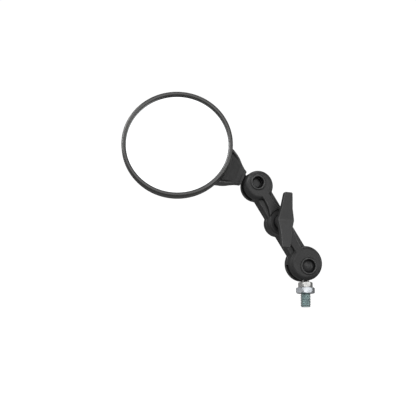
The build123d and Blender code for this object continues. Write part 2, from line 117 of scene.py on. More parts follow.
def blended(tree, amount, first, second):
    """A colour between two, each a plain colour or another node's output."""
    mixed = node(tree, "ShaderNodeMix", data_type="RGBA")
    for socket, value in ((mixed.inputs[0], amount), (mixed.inputs[6], first), (mixed.inputs[7], second)):
        if isinstance(value, bpy.types.NodeSocket):
            tree.links.new(value, socket)
        else:
            socket.default_value = value if isinstance(value, float) else (*value, 1.0)
    return mixed.outputs[2]


def speckle(tree, place, size, detail=3.0, roughness=0.5):
    """Even noise whose marks are about one size across, in metres."""
    return node(
        tree,
        "ShaderNodeTexNoise",
        {"Vector": place, "Scale": 1 / size, "Detail": detail, "Roughness": roughness},
    ).outputs[0]


def new_finish(name):
    """An empty material, its node tree, its Principled shader and the piece's own coordinates."""
    material = bpy.data.materials.new(name)
    material.use_nodes = True
    tree = material.node_tree
    tree.nodes.clear()
    shader = node(tree, "ShaderNodeBsdfPrincipled")
    node(tree, "ShaderNodeOutputMaterial", {"Surface": shader.outputs[0]})
    place = node(tree, "ShaderNodeTexCoord").outputs["Object"]
    return material, tree, shader, place


def relief(tree, shader, height, depth, strength=1.0):
    """Bump of a given depth in metres from a height between 0 and 1."""
    bump = node(tree, "ShaderNodeBump", {"Height": height, "Distance": depth, "Strength": strength})
    tree.links.new(bump.outputs[0], shader.inputs["Normal"])


def zinc_plate(name, bright, dull, roughness, streak=0.0006, blue_below=None):
    """Zinc plating over machined steel: cloudy passivation, fine tool marks, soft handling dulling.
    Below a height it may turn blue-green, where the passivation is thicker."""
    material, tree, shader, place = new_finish(name)
    clouds = speckle(tree, place, 0.0035, 4.0)
    spots = speckle(tree, place, streak, 2.0)
    shift = between(tree, clouds, 0.0, 1.0, 0.35, 0.65)
    tone = blended(tree, shift, bright, dull)
    darker = tuple(0.75 * part for part in dull)
    tone = blended(tree, between(tree, spots, 0.0, 0.15, 0.52, 0.72), tone, darker)
    if blue_below is not None:
        height = node(tree, "ShaderNodeSeparateXYZ", {0: place}).outputs[2]
        wavy = math_of(tree, "ADD", height, between(tree, clouds, -0.0006, 0.0006, 0.3, 0.7))
        blue = between(tree, wavy, 1.0, 0.0, blue_below - 0.0006, blue_below + 0.0006)
        tone = blended(tree, blue, tone, blended(tree, shift, (0.50, 0.62, 0.61), (0.36, 0.45, 0.46)))
        clouds = math_of(tree, "ADD", clouds, math_of(tree, "MULTIPLY", blue, 0.3))
    tree.links.new(tone, shader.inputs["Base Color"])
    shine = between(tree, clouds, roughness - 0.05, roughness + 0.2, 0.3, 1.0)
    tree.links.new(shine, shader.inputs["Roughness"])
    shader.inputs["Metallic"].default_value = 1.0
    stretched = node(tree, "ShaderNodeMapping", {"Vector": place, "Scale": (1.0, 1.0, 9.0)}).outputs[0]
    tool_marks = speckle(tree, stretched, 0.0011, 3.0, 0.6)
    relief(tree, shader, tool_marks, 0.000015)
    return material


def new_growth(name, *labels):
    """A new Geometry Nodes tree that takes these numbers and a finish, and its inputs' sockets."""
    tree = bpy.data.node_groups.new(name, "GeometryNodeTree")
    for label in labels:
        tree.interface.new_socket(label, in_out="INPUT", socket_type="NodeSocketFloat")
    tree.interface.new_socket("Finish", in_out="INPUT", socket_type="NodeSocketMaterial")
    tree.interface.new_socket("Geometry", in_out="OUTPUT", socket_type="NodeSocketGeometry")
    return tree, node(tree, "NodeGroupInput").outputs


def position_of(tree):
    """The X, Y and Z of each point of a Geometry Nodes tree's geometry."""
    here = node(tree, "GeometryNodeInputPosition").outputs[0]
    return node(tree, "ShaderNodeSeparateXYZ", {0: here}).outputs


def set_down(tree, geometry, x, y, z):
    """The geometry with each of its points put at a new place."""
    place = node(tree, "ShaderNodeCombineXYZ", {0: x, 1: y, 2: z}).outputs[0]
    return node(tree, "GeometryNodeSetPosition", {"Geometry": geometry, "Position": place}).outputs[0]


def close_growth(tree, geometry, finish):
    """Ends a Geometry Nodes tree with real geometry in its finish."""
    real = node(tree, "GeometryNodeRealizeInstances", {0: geometry}).outputs[0]
    done = node(tree, "GeometryNodeSetMaterial", {"Geometry": real, "Material": finish})
    node(tree, "NodeGroupOutput", {0: done.outputs[0]})


THREAD_COLUMNS = 96
THREAD_ROWS = 200
ROOT_FLAT = 0.12     # shares of the rise between the root's and the crest's flats
CREST_FLAT = 0.86


def rolled_thread_tree():
    """Geometry Nodes for a screw thread along Z from the origin, with a run-out at each end."""
    tree, sizes = new_growth(
        "rolled thread", "Root radius", "Crest radius", "Pitch", "Length", "Run-out"
    )
    length = sizes["Length"]
    barrel = node(
        tree,
        "GeometryNodeMeshCylinder",
        {"Vertices": THREAD_COLUMNS, "Side Segments": THREAD_ROWS, "Radius": 1.0, "Depth": length},
    ).outputs[0]
    axes = position_of(tree)
    around = math_of(tree, "ARCTAN2", axes[1], axes[0])
    along = math_of(tree, "ADD", axes[2], math_of(tree, "MULTIPLY", length, 0.5))
    turns = math_of(tree, "DIVIDE", along, sizes["Pitch"])
    phase = math_of(tree, "ADD", turns, math_of(tree, "DIVIDE", around, math.tau))
    flank = math_of(tree, "PINGPONG", math_of(tree, "MULTIPLY", phase, 2.0), 1.0)
    flank = between(tree, flank, 0.0, 1.0, ROOT_FLAT, CREST_FLAT)
    low_end = math_of(tree, "DIVIDE", along, sizes["Run-out"])
    high_end = math_of(tree, "DIVIDE", math_of(tree, "SUBTRACT", length, along), sizes["Run-out"])
    ends = between(tree, math_of(tree, "MINIMUM", low_end, high_end), 0.0, 1.0)
    rise = math_of(tree, "SUBTRACT", sizes["Crest radius"], sizes["Root radius"])
    lift = math_of(tree, "MULTIPLY", rise, math_of(tree, "MULTIPLY", flank, ends))
    radius = math_of(tree, "ADD", sizes["Root radius"], lift)
    x = math_of(tree, "MULTIPLY", radius, math_of(tree, "COSINE", around))
    y = math_of(tree, "MULTIPLY", radius, math_of(tree, "SINE", around))
    close_growth(tree, set_down(tree, barrel, x, y, along), sizes["Finish"])
    return tree


def grown(tree, **sizes):
    """The plain mesh that a Geometry Nodes tree makes with these sizes."""
    stand_in = bpy.data.objects.new("stand_in", bpy.data.meshes.new("stand_in"))
    bpy.context.scene.collection.objects.link(stand_in)
    modifier = stand_in.modifiers.new("grown", "NODES")
    modifier.node_group = tree
    for item in tree.interface.items_tree:
        key = item.name.lower().replace(" ", "_").replace("-", "_")
        if item.in_out == "INPUT" and key in sizes:
            modifier[item.identifier] = sizes[key]
    ready = stand_in.evaluated_get(bpy.context.evaluated_depsgraph_get())
    mesh = bpy.data.meshes.new_from_object(ready)
    stand_in.modifiers.remove(modifier)
    bpy.data.objects.remove(stand_in)
    return mesh


def ring(radius, height, steps=TURNING_STEPS):
    """One ring of points round Z. The radius may be a function of the angle."""
    angles = [math.tau * step / steps for step in range(steps)]
    radii = [radius(angle) if callable(radius) else radius for angle in angles]
    heights = [height(angle) if callable(height) else height for angle in angles]
    return [Vector((r * math.cos(a), r * math.sin(a), h)) for a, r, h in zip(angles, radii, heights)]


def skinned(rings, loop=False):
    """A closed mesh over a stack of rings: its ends capped, or joined to each other in a loop."""
    per_ring, count = len(rings[0]), len(rings)
    pairs = [(row, (row + 1) % count) for row in range(count if loop else count - 1)]
    faces = [
        (low * per_ring + i, low * per_ring + (i + 1) % per_ring,
         high * per_ring + (i + 1) % per_ring, high * per_ring + i)
        for low, high in pairs
        for i in range(per_ring)
    ]
    if not loop:
        faces.append(tuple(reversed(range(per_ring))))
        faces.append(tuple(range((count - 1) * per_ring, count * per_ring)))
    mesh = bpy.data.meshes.new("skin")
    mesh.from_pydata([point for row in rings for point in row], [], faces)
    return mesh


def hexagon_rings(flats, low, high, turn):
    """Rings of a hexagon with its corners turned down at both ends and its edges just broken."""
    corner_cut = math.tan(math.radians(30))
    corner_r = flats / math.sqrt(3) * 0.988
    turned_r = flats / 2 * 0.985
    face_r = flats / 2 * 0.955
    broken = 0.00012
    edge_share = 0.8

    def across(angle, inset=0.0):
        facet = (angle - turn) % (math.pi / 3) - math.pi / 6
        return min((flats / 2 - inset) / math.cos(facet), corner_r - inset)

    def drop(angle):
        return max(0.0, across(angle) - turned_r) * corner_cut

    return [
        ring(face_r, low),
        ring(lambda a: across(a, broken), lambda a: low + drop(a) * edge_share),
        ring(across, lambda a: low + drop(a) + broken),
        ring(across, lambda a: high - drop(a) - broken),
        ring(lambda a: across(a, broken), lambda a: high - drop(a) * edge_share),
        ring(face_r, high),
    ]


def assembled(name, meshes, finish, body, slot, *nodes, smooth_below=32):
    """One piece from closed meshes, with its finish, riding on its body for its CAD nodes."""
    joined = bmesh.new()
    for mesh in meshes:
        joined.from_mesh(mesh)
    bmesh.ops.recalc_face_normals(joined, faces=joined.faces)
    result = bpy.data.meshes.new(name)
    joined.to_mesh(result)
    joined.free()
    result.materials.clear()
    result.materials.append(finish)
    for face in result.polygons:
        face.material_index = 0
    result.polygons.foreach_set("use_smooth", [True] * len(result.polygons))
    result.set_sharp_from_angle(angle=math.radians(smooth_below))
    piece = bpy.data.objects.new(name, result)
    bpy.context.scene.collection.objects.link(piece)
    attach(piece, body)
    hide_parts(*nodes)
    return piece


def moved(mesh, matrix):
    """The mesh, put in place by a matrix."""
    mesh.transform(matrix)
    return mesh


stud_zinc = zinc_plate("stud zinc", (0.70, 0.70, 0.68), (0.55, 0.55, 0.54), 0.3, blue_below=0.0006)
thread_tree = rolled_thread_tree()
hex_base, hex_top = nut_top, nut_top + STUD_HEX_HEIGHT
head_low, head_high = lower_ball_at.z - STUD_HEAD_HALF, lower_ball_at.z + STUD_HEAD_HALF
stud_thread = moved(
    grown(
        thread_tree,
        root_radius=THREAD_ROOT,
        crest_radius=THREAD_CREST,
        pitch=THREAD_PITCH,
        length=-thread_end,
        run_out=THREAD_RUN_OUT,
        finish=stud_zinc,
    ),
    Matrix.Translation((0, 0, thread_end)),
)
stud_body = skinned(
    [
        ring(THREAD_ROOT - EDGE_BREAK, -EDGE_BREAK),
        ring(RELIEF_R - EDGE_BREAK, 0.0),
        ring(RELIEF_R, EDGE_BREAK),
        ring(RELIEF_R, hex_base - NECK_FILLET),
        ring(RELIEF_R + NECK_FILLET, hex_base),
    ]
    + hexagon_rings(STUD_HEX_FLATS, hex_base, hex_top, STUD_HEX_TURN)
    + [
        ring(STUD_NECK_R + NECK_FILLET, hex_top),
        ring(STUD_NECK_R + NECK_FILLET * 0.3, hex_top + NECK_FILLET * 0.3),
        ring(STUD_NECK_R, hex_top + NECK_FILLET),
        ring(STUD_NECK_R, head_low),
        ring(STUD_HEAD_R - EDGE_BREAK, head_low),
        ring(STUD_HEAD_R, head_low + EDGE_BREAK),
        ring(STUD_HEAD_R, head_high - EDGE_BREAK),
        ring(STUD_HEAD_R - EDGE_BREAK, head_high),
    ]
)
assembled("stud", [stud_thread, stud_body], stud_zinc, "stud", "zinc_steel", "ball_stud")


# ---- Lock nut ----
# Thin M8 nut, brighter than the stud because its plating is clear, not blue.
# It is threaded up the stud and tightens against the handlebar clamp below it.

NUT_FLATS = 0.0130
NUT_TURN = math.radians(-5)
NUT_BORE = 0.00405
nut_zinc = zinc_plate("nut clear zinc", (0.66, 0.69, 0.72), (0.52, 0.55, 0.58), 0.3, 0.0009)
nut_rings = [
    ring(NUT_BORE + EDGE_BREAK, 0.0),
    *hexagon_rings(NUT_FLATS, 0.0, nut_top, NUT_TURN),
    ring(NUT_BORE + EDGE_BREAK, nut_top),
    ring(NUT_BORE, nut_top - EDGE_BREAK),
    ring(NUT_BORE, EDGE_BREAK),
]
assembled("nut", [skinned(nut_rings, loop=True)], nut_zinc, "nut", "zinc_nut", "lock_nut")


# ---- Balls ----
# Two balls of black nylon, polished by their cups. The lower one is moulded over the
# stud's head; the upper one is cored from the front and pressed on the mirror's spigot.


def moulded_plastic(
    name, body, edge_wear_highlight, roughness, grain=0.0005, grain_depth=0.00003, mottle=0.25, ior=1.55
):
    """Black nylon from a spark-textured mould: fine grain, cloudy tone, convex edges made pale
    and glossy, partly as wear and partly as a painted highlight, and creases painted dark with
    their shine dimmed, as painted shade."""
    material, tree, shader, place = new_finish(name)
    clouds = speckle(tree, place, 0.009, 4.0, 0.6)
    pits = speckle(tree, place, grain, 2.0, 0.6)
    low = tuple(part * (1 - mottle) for part in body)
    high = tuple(part * (1 + mottle) for part in body)
    tone = blended(tree, between(tree, clouds, 0.0, 1.0, 0.3, 0.7), low, high)
    paler = tuple(part * (1 + 3 * mottle) for part in body)
    tone = blended(tree, between(tree, pits, 0.0, 0.8, 0.5, 0.75), tone, paler)
    edge = node(tree, "ShaderNodeAttribute", attribute_name="edge").outputs["Fac"]
    # Painted highlight as well as wear: convex edges are coloured paler, in patches, and made glossier.
    patchy = between(tree, speckle(tree, place, 0.0022, 3.0), 0.35, 1.0, 0.35, 0.62)
    wear_and_highlight = math_of(tree, "MULTIPLY", between(tree, edge, 0.0, 0.8, 0.18, 0.8), patchy)
    tone = blended(tree, wear_and_highlight, tone, edge_wear_highlight)
    # Painted shade: concave creases are coloured down to a third of the body's tone, and their shine is
    # dimmed, where shade falls.
    painted_crease_shade = between(tree, edge, 0.55, 0.0, -0.7, -0.15)
    tone = blended(tree, painted_crease_shade, tone, tuple(part * 0.35 for part in body))
    tree.links.new(tone, shader.inputs["Base Color"])
    shine = between(tree, clouds, roughness - 0.05, roughness + 0.07, 0.3, 0.7)
    shine = math_of(tree, "SUBTRACT", shine, math_of(tree, "MULTIPLY", wear_and_highlight, 0.14))
    tree.links.new(shine, shader.inputs["Roughness"])
    gloss = math_of(tree, "SUBTRACT", 0.5, math_of(tree, "MULTIPLY", painted_crease_shade, 0.75))
    gloss = math_of(tree, "ADD", gloss, math_of(tree, "MULTIPLY", wear_and_highlight, 0.5))
    tree.links.new(gloss, shader.inputs["Specular IOR Level"])
    shader.inputs["IOR"].default_value = ior
    relief(tree, shader, pits, grain_depth)
    return material


ball_nylon = moulded_plastic(
    "ball black nylon", (0.024, 0.024, 0.025), (0.08, 0.08, 0.08), 0.38, grain_depth=0.000008, mottle=0.1
)
for ball in ("lower_ball", "upper_ball"):
    piece = frame["nodes"][ball]
    piece.data.materials.clear()
    piece.data.materials.append(ball_nylon)


# ---- Clamp arm ----
# Two shells of glass-filled nylon that grip both balls. Each is one moulding: cups with a
# raised ring round each eye, a waisted spine and the bolt boss, its edges eased by the mould.

SHELL_PASSES = 7
MOST_FACES = 80000
FINEST_CELL = 0.00022
SHARPEST_BEND = 0.13    # of a cell, where a point counts as fully on an edge


def softened(mesh, passes):
    """Eases a mesh's edges, and notes on each point how sharply it turns outwards or inwards."""
    count = len(mesh.vertices)
    points = np.empty(count * 3)
    mesh.vertices.foreach_get("co", points)
    points = points.reshape(-1, 3)
    ends = np.empty(len(mesh.edges) * 2, dtype=np.int64)
    mesh.edges.foreach_get("vertices", ends)
    first, second = ends.reshape(-1, 2).T
    degree = np.bincount(ends, minlength=count)

    def neighbours(values):
        columns = values.reshape(count, -1).T
        sums = [
            np.bincount(first, weights=column[second], minlength=count)
            + np.bincount(second, weights=column[first], minlength=count)
            for column in columns
        ]
        return (np.array(sums) / degree).T.reshape(values.shape)

    for _ in range(passes):
        points = points + 0.5 * (neighbours(points) - points)
    mesh.vertices.foreach_set("co", points.ravel())
    mesh.update()
    normals = np.empty(count * 3)
    mesh.vertex_normals.foreach_get("vector", normals)
    pitch = np.linalg.norm(points[first] - points[second], axis=1).mean()
    bend = ((points - neighbours(points)) * normals.reshape(-1, 3)).sum(axis=1) / pitch
    for _ in range(2):
        bend = neighbours(bend)
    edge = mesh.attributes.new("edge", "FLOAT", "POINT")
    edge.data.foreach_set("value", np.clip(bend / SHARPEST_BEND, -1, 1))


def moulded(cad_node, name, passes, finish, body):
    """A moulding in the CAD piece's shape, with its edges eased."""
    solid = bmesh.new()
    solid.from_mesh(frame["nodes"][cad_node].data)
    bmesh.ops.remove_doubles(solid, verts=solid.verts, dist=1e-6)
    area = sum(face.calc_area() for face in solid.faces)
    mesh = bpy.data.meshes.new(name)
    solid.to_mesh(mesh)
    solid.free()
    blank = bpy.data.objects.new("blank", mesh)
    bpy.context.scene.collection.objects.link(blank)
    remesh = blank.modifiers.new("cells", "REMESH")
    remesh.mode = "VOXEL"
    remesh.voxel_size = max(FINEST_CELL, math.sqrt(area / MOST_FACES))
    ready = blank.evaluated_get(bpy.context.evaluated_depsgraph_get())
    cells = bpy.data.meshes.new_from_object(ready)
    blank.modifiers.remove(remesh)
    bpy.data.objects.remove(blank)
    softened(cells, passes)
    cells.name = name
    cells.materials.clear()
    cells.materials.append(finish)
    for face in cells.polygons:
        face.material_index = 0
    cells.polygons.foreach_set("use_smooth", [True] * len(cells.polygons))
    piece = bpy.data.objects.new(name, cells)
    bpy.context.scene.collection.objects.link(piece)
    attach(piece, body)
    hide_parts(cad_node)


arm_nylon = moulded_plastic("arm grained nylon", (0.020, 0.020, 0.0203), (0.11, 0.11, 0.11), 0.44)
moulded("front_shell", "shell_front", SHELL_PASSES, arm_nylon, "clamp_front")
moulded("rear_shell", "shell_rear", SHELL_PASSES, arm_nylon, "arm")


# ---- Clamp bolt ----
# M6 hexagon bolt of zinc-plated steel. Its head sits in a pocket in the rear shell, and its
# shank runs through the spring and both shells, with its thread in the lever's insert.

BOLT_FLATS = 0.0100
BOLT_HEAD = 0.0040
BOLT_CREST = 0.00298
BOLT_ROOT = 0.00250
BOLT_PITCH = 0.0010
BOLT_PLAIN = 0.0060
BOLT_TUCK_R = 0.00225   # of the plain shank's end, inside the thread
bolt_zinc = zinc_plate("bolt clear zinc", (0.66, 0.67, 0.68), (0.50, 0.51, 0.52), 0.3)
bolt_at = joint_at["lever_turn"]


def span_on_bolt(cad_node):
    """Where a CAD piece starts and ends along the bolt, forwards from the arm's middle plane."""
    low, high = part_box(cad_node)
    return bolt_at.y - high.y, bolt_at.y - low.y


bolt_back, bolt_tip = span_on_bolt("clamp_bolt")
head_end = bolt_back + BOLT_HEAD
plain_end = head_end + BOLT_PLAIN
arm_line = (joint_at["upper_swing"] - lower_ball_at).normalized()
along_bolt = Matrix.Translation((bolt_at.x, 0, bolt_at.z)) @ Matrix(
    (
        (arm_line.x, arm_line.z, 0, 0),
        (0, 0, -1, 0),
        (arm_line.z, -arm_line.x, 0, 0),
        (0, 0, 0, 1),
    )
)
bolt_thread = moved(
    grown(
        thread_tree,
        root_radius=BOLT_ROOT,
        crest_radius=BOLT_CREST,
        pitch=BOLT_PITCH,
        length=bolt_tip - plain_end,
        run_out=BOLT_PITCH,
        finish=bolt_zinc,
    ),
    along_bolt @ Matrix.Translation((0, 0, plain_end)),
)
bolt_body = moved(
    skinned(
        [
            ring(BOLT_ROOT, bolt_back),
            *hexagon_rings(BOLT_FLATS, bolt_back, head_end, 0.0),
            ring(BOLT_CREST, head_end),
            ring(BOLT_CREST, plain_end),
            ring(BOLT_TUCK_R, plain_end + BOLT_CREST - BOLT_ROOT),
        ]
    ),
    along_bolt,
)
assembled("bolt", [bolt_body, bolt_thread], bolt_zinc, "arm", "bolt_steel", "clamp_bolt")


# ---- Clamp spring ----
# Coil of round spring wire round the bolt, in pockets in both shells. It opens the arm
# when the lever is let off; its last turns lie flat at each end.

SPRING_WIRE = 0.0010
SPRING_COIL_R = 0.0047
SPRING_TURNS = 4.0
EVEN_SHARE = 0.6        # of the rise that is even, the rest being eased at the ends
POINTS_PER_TURN = 64
WIRE_SIDES = 16


def coiled_wire_tree():
    """Geometry Nodes for a coil spring up Z from the origin, closer wound at its ends."""
    tree, sizes = new_growth("coiled wire", "Coil radius", "Turns", "Height", "Wire radius")
    coil = node(
        tree,
        "GeometryNodeCurveSpiral",
        {
            "Resolution": POINTS_PER_TURN,
            "Rotations": sizes["Turns"],
            "Start Radius": sizes["Coil radius"],
            "End Radius": sizes["Coil radius"],
            "Height": sizes["Height"],
        },
    ).outputs[0]
    axes = position_of(tree)
    share = math_of(tree, "DIVIDE", axes[2], sizes["Height"])
    closed = node(
        tree, "ShaderNodeMapRange", {"Value": share}, interpolation_type="SMOOTHSTEP"
    ).outputs[0]
    even = math_of(tree, "MULTIPLY", share, EVEN_SHARE)
    eased = math_of(tree, "ADD", even, math_of(tree, "MULTIPLY", closed, 1 - EVEN_SHARE))
    height = math_of(tree, "MULTIPLY", eased, sizes["Height"])
    wound = set_down(tree, coil, axes[0], axes[1], height)
    section = node(
        tree,
        "GeometryNodeCurvePrimitiveCircle",
        {"Resolution": WIRE_SIDES, "Radius": sizes["Wire radius"]},
    ).outputs[0]
    wire = node(
        tree, "GeometryNodeCurveToMesh", {"Curve": wound, "Profile Curve": section, "Fill Caps": True}
    ).outputs[0]
    close_growth(tree, wire, sizes["Finish"])
    return tree


spring_low, spring_high = span_on_bolt("clamp_spring")
wire_steel = zinc_plate("spring wire steel", (0.42, 0.43, 0.44), (0.28, 0.29, 0.30), 0.3)
spring_coil = moved(
    grown(
        coiled_wire_tree(),
        coil_radius=SPRING_COIL_R,
        turns=SPRING_TURNS,
        height=spring_high - spring_low - SPRING_WIRE,
        wire_radius=SPRING_WIRE / 2,
        finish=wire_steel,
    ),
    along_bolt @ Matrix.Translation((0, 0, spring_low + SPRING_WIRE / 2)),
)
assembled("spring", [spring_coil], wire_steel, "arm", "spring_steel", "clamp_spring", smooth_below=60)


# ---- Washer ----
# Plain washer, pressed out of strip steel. Its near-black colour is painted shade, standing
# for the shade under the lever's hub. It keeps the lever's hub off the plastic boss.

WASHER_R = 0.0064
WASHER_BORE = 0.00305
WASHER_EDGE = 0.00022
washer_low, washer_high = span_on_bolt("lever_washer")
# Painted shade: the washer's colour is set near-black for the shade under the lever's hub.
washer_painted_shade = zinc_plate("washer painted hub shade", (0.030, 0.030, 0.032), (0.018, 0.018, 0.019), 0.5)
washer_rings = [
    ring(WASHER_BORE, washer_low + WASHER_EDGE),
    ring(WASHER_BORE, washer_high - WASHER_EDGE),
    ring(WASHER_BORE + WASHER_EDGE, washer_high),
    ring(WASHER_R - 2 * WASHER_EDGE, washer_high),
    ring(WASHER_R - WASHER_EDGE * 0.6, washer_high - WASHER_EDGE * 0.6),
    ring(WASHER_R, washer_high - 2 * WASHER_EDGE),
    ring(WASHER_R, washer_low + WASHER_EDGE / 2),
    ring(WASHER_R - WASHER_EDGE / 2, washer_low),
    ring(WASHER_BORE + WASHER_EDGE, washer_low),
]
washer = moved(skinned(washer_rings, loop=True), along_bolt)
assembled("washer", [washer], washer_painted_shade, "clamp_front", "washer_steel", "lever_washer")


# ---- Lever insert ----
# Threaded brass bush that the lever is moulded round. Its diamond knurl and the groove
# round its middle keep it from turning or pulling out.

INSERT_R = 0.00428
INSERT_BORE = 0.00305
KNURL_DEPTH = 0.00022
KNURL_COUNT = 36.0
GROOVE_DEPTH = 1.6      # against the knurl's depth
BUSH_SIDES = 216
SECTION_POINTS = 160


def knurled_bush_tree():
    """Geometry Nodes for a bush up Z from the origin: diamond knurl, waist groove and bore."""
    tree, sizes = new_growth("knurled bush", "Radius", "Bore", "Height", "Knurls", "Depth")
    wall = math_of(tree, "DIVIDE", math_of(tree, "SUBTRACT", sizes["Radius"], sizes["Bore"]), 2.0)
    middle = math_of(tree, "ADD", sizes["Bore"], wall)
    path = node(
        tree, "GeometryNodeCurvePrimitiveCircle", {"Resolution": BUSH_SIDES, "Radius": middle}
    ).outputs[0]
    section = node(
        tree,
        "GeometryNodeCurvePrimitiveQuadrilateral",
        {"Width": math_of(tree, "MULTIPLY", wall, 2.0), "Height": sizes["Height"]},
    ).outputs[0]
    fine = node(tree, "GeometryNodeResampleCurve", {"Curve": section, "Count": SECTION_POINTS}).outputs[0]
    bush = node(tree, "GeometryNodeCurveToMesh", {"Curve": path, "Profile Curve": fine}).outputs[0]
    axes = position_of(tree)
    x_squared = math_of(tree, "MULTIPLY", axes[0], axes[0])
    y_squared = math_of(tree, "MULTIPLY", axes[1], axes[1])
    from_axis = math_of(tree, "SQRT", math_of(tree, "ADD", x_squared, y_squared))
    near_outside = math_of(tree, "ADD", middle, math_of(tree, "MULTIPLY", wall, 0.9))
    outside = math_of(tree, "GREATER_THAN", from_axis, near_outside)
    around = math_of(tree, "ARCTAN2", axes[1], axes[0])
    angle = math_of(tree, "MULTIPLY", around, sizes["Knurls"])
    climb = math_of(tree, "DIVIDE", axes[2], sizes["Radius"])
    climb = math_of(tree, "MULTIPLY", climb, sizes["Knurls"])

    def ridges(phase):
        """How far each point is up the ridges that run one way round the bush."""
        return math_of(tree, "ABSOLUTE", math_of(tree, "SINE", math_of(tree, "MULTIPLY", phase, 0.5)))

    one_way = ridges(math_of(tree, "ADD", angle, climb))
    other_way = ridges(math_of(tree, "SUBTRACT", angle, climb))
    dent = math_of(tree, "SUBTRACT", 1.0, math_of(tree, "MINIMUM", one_way, other_way))
    height_share = math_of(tree, "ABSOLUTE", math_of(tree, "DIVIDE", axes[2], sizes["Height"]))
    groove = between(tree, height_share, 1.0, 0.0, 0.06, 0.1)
    groove = math_of(tree, "MULTIPLY", groove, GROOVE_DEPTH)
    cut = math_of(tree, "MULTIPLY", math_of(tree, "MAXIMUM", dent, groove), outside)
    cut_share = math_of(tree, "DIVIDE", math_of(tree, "MULTIPLY", cut, sizes["Depth"]), sizes["Radius"])
    scale = math_of(tree, "SUBTRACT", 1.0, cut_share)
    x = math_of(tree, "MULTIPLY", axes[0], scale)
    y = math_of(tree, "MULTIPLY", axes[1], scale)
    z = math_of(tree, "ADD", axes[2], math_of(tree, "DIVIDE", sizes["Height"], 2.0))
    close_growth(tree, set_down(tree, bush, x, y, z), sizes["Finish"])
    return tree


insert_low, insert_high = span_on_bolt("lever_insert")
turned_brass = zinc_plate("insert turned brass", (0.66, 0.47, 0.18), (0.50, 0.34, 0.12), 0.28)
bush = moved(
    grown(
        knurled_bush_tree(),
        radius=INSERT_R,
        bore=INSERT_BORE,
        height=insert_high - insert_low,
        knurls=KNURL_COUNT,
        depth=KNURL_DEPTH,
        finish=turned_brass,
    ),
    along_bolt @ Matrix.Translation((0, 0, insert_low)),
)
assembled("insert", [bush], turned_brass, "lever", "insert_brass", "lever_insert", smooth_below=40)


# ---- Wing lever ----
# Long two-winged lever of the same nylon in a smoother mould, moulded round its brass insert.
# Both wings taper and rise from the hub, so that fingers get under either.

LEVER_PASSES = 9
lever_nylon = moulded_plastic(
    "lever satin nylon", (0.034, 0.034, 0.0345), (0.11, 0.11, 0.11), 0.42, grain_depth=0.00002, mottle=0.18
)
moulded("wing_lever", "lever", LEVER_PASSES, lever_nylon, "lever")


# ---- Mirror housing ----
# Dished back, flared neck and spigot in one satin black moulding. Two ribs run out along
# the edges of the flare, and its neck ends in the spigot inside the upper ball.

HOUSING_PASSES = 5
housing_nylon = moulded_plastic(
    "housing satin black", (0.014, 0.014, 0.014), (0.12, 0.12, 0.12), 0.34, grain=0.0007, mottle=0.15
)
moulded("mirror_housing", "housing", HOUSING_PASSES, housing_nylon, "head")


# ---- Mirror glass, bezel and foam ----
# Silvered convex glass on a foam ring, held by a snap-in bezel with a rounded lip.
# All three are round, on one axis that leans away from the neck's line.

NECK_TO_GLASS = 0.0681
GLASS_FORWARD = 0.0016
HEAD_SPIN = math.radians(2.6)
GLASS_LEAN = math.radians(14.8)
GLASS_R = 0.0400
GLASS_THICKNESS = 0.0020
GLASS_BULGE = 0.0012
GLASS_ARRIS = 0.0003
BEZEL_R = 0.04246
BEZEL_INNER = 0.0391
BEZEL_SKIRT = 0.0414
BEZEL_FRONT = 0.0022
BEZEL_BACK = -0.0040
BEZEL_LIP = 0.0002
BEZEL_ROUND = 0.0014
FOAM_THICKNESS = 0.0012
FOAM_WIDTH = 0.0080
FOAM_GAP = 0.00002      # behind the glass
FOAM_ROUND = 0.0003
DOME_TOP = 0.04         # share of the glass's radius that one flat facet closes, at its middle
ROUND_STEPS = 256
EASE_STEPS = 8

neck_line = joint_axis["head_spin"]
neck_up = Vector((neck_line.z, 0, -neck_line.x))
face_out = Vector((0, -1, 0)) * math.cos(HEAD_SPIN) + neck_up * math.sin(HEAD_SPIN)
glass_axis = face_out * math.cos(GLASS_LEAN) + neck_line * math.sin(GLASS_LEAN)
glass_side = neck_line * math.cos(GLASS_LEAN) - face_out * math.sin(GLASS_LEAN)
glass_at = joint_at["head_spin"] + neck_line * NECK_TO_GLASS + face_out * GLASS_FORWARD
on_glass = Matrix.Translation(glass_at) @ Matrix(
    (glass_side, glass_axis.cross(glass_side), glass_axis)
).transposed().to_4x4()


def eased_section(corners):
    """Points of a section round an axis, from corners of (radius, height, round-over)."""
    points = []
    for index, (radius, height, ease) in enumerate(corners):
        here = Vector((radius, height))
        if not ease:
            points.append(here)
            continue
        before = (Vector(corners[index - 1][:2]) - here).normalized()
        after = (Vector(corners[(index + 1) % len(corners)][:2]) - here).normalized()
        for step in range(EASE_STEPS + 1):
            share = step / EASE_STEPS
            start, end = here + before * ease, here + after * ease
            points.append(start * (1 - share) ** 2 + here * 2 * share * (1 - share) + end * share**2)
    return points


def round_piece(section, loop=True):
    """Closed mesh of a section turned round the glass's axis."""
    rings = [ring(max(point[0], 0.0), point[1], ROUND_STEPS) for point in section]
    return moved(skinned(rings, loop), on_glass)


bezel_finish = moulded_plastic(
    "bezel satin black",
    (0.024, 0.0237, 0.0220),
    (0.10, 0.10, 0.097),
    0.22,
    grain_depth=0.000006,
    mottle=0.12,
    ior=1.75,
)
bezel_section = eased_section(
    [
        (BEZEL_INNER, BEZEL_LIP, 0.0002),
        (BEZEL_SKIRT, BEZEL_LIP, 0),
        (BEZEL_SKIRT, BEZEL_BACK, 0.0002),
        (BEZEL_R, BEZEL_BACK, 0.0003),
        (BEZEL_R, BEZEL_FRONT, BEZEL_ROUND),
        (BEZEL_INNER, BEZEL_FRONT, BEZEL_ROUND),
    ]
)
assembled("bezel", [round_piece(bezel_section)], bezel_finish, "head", "bezel_plastic", "rim_bezel")

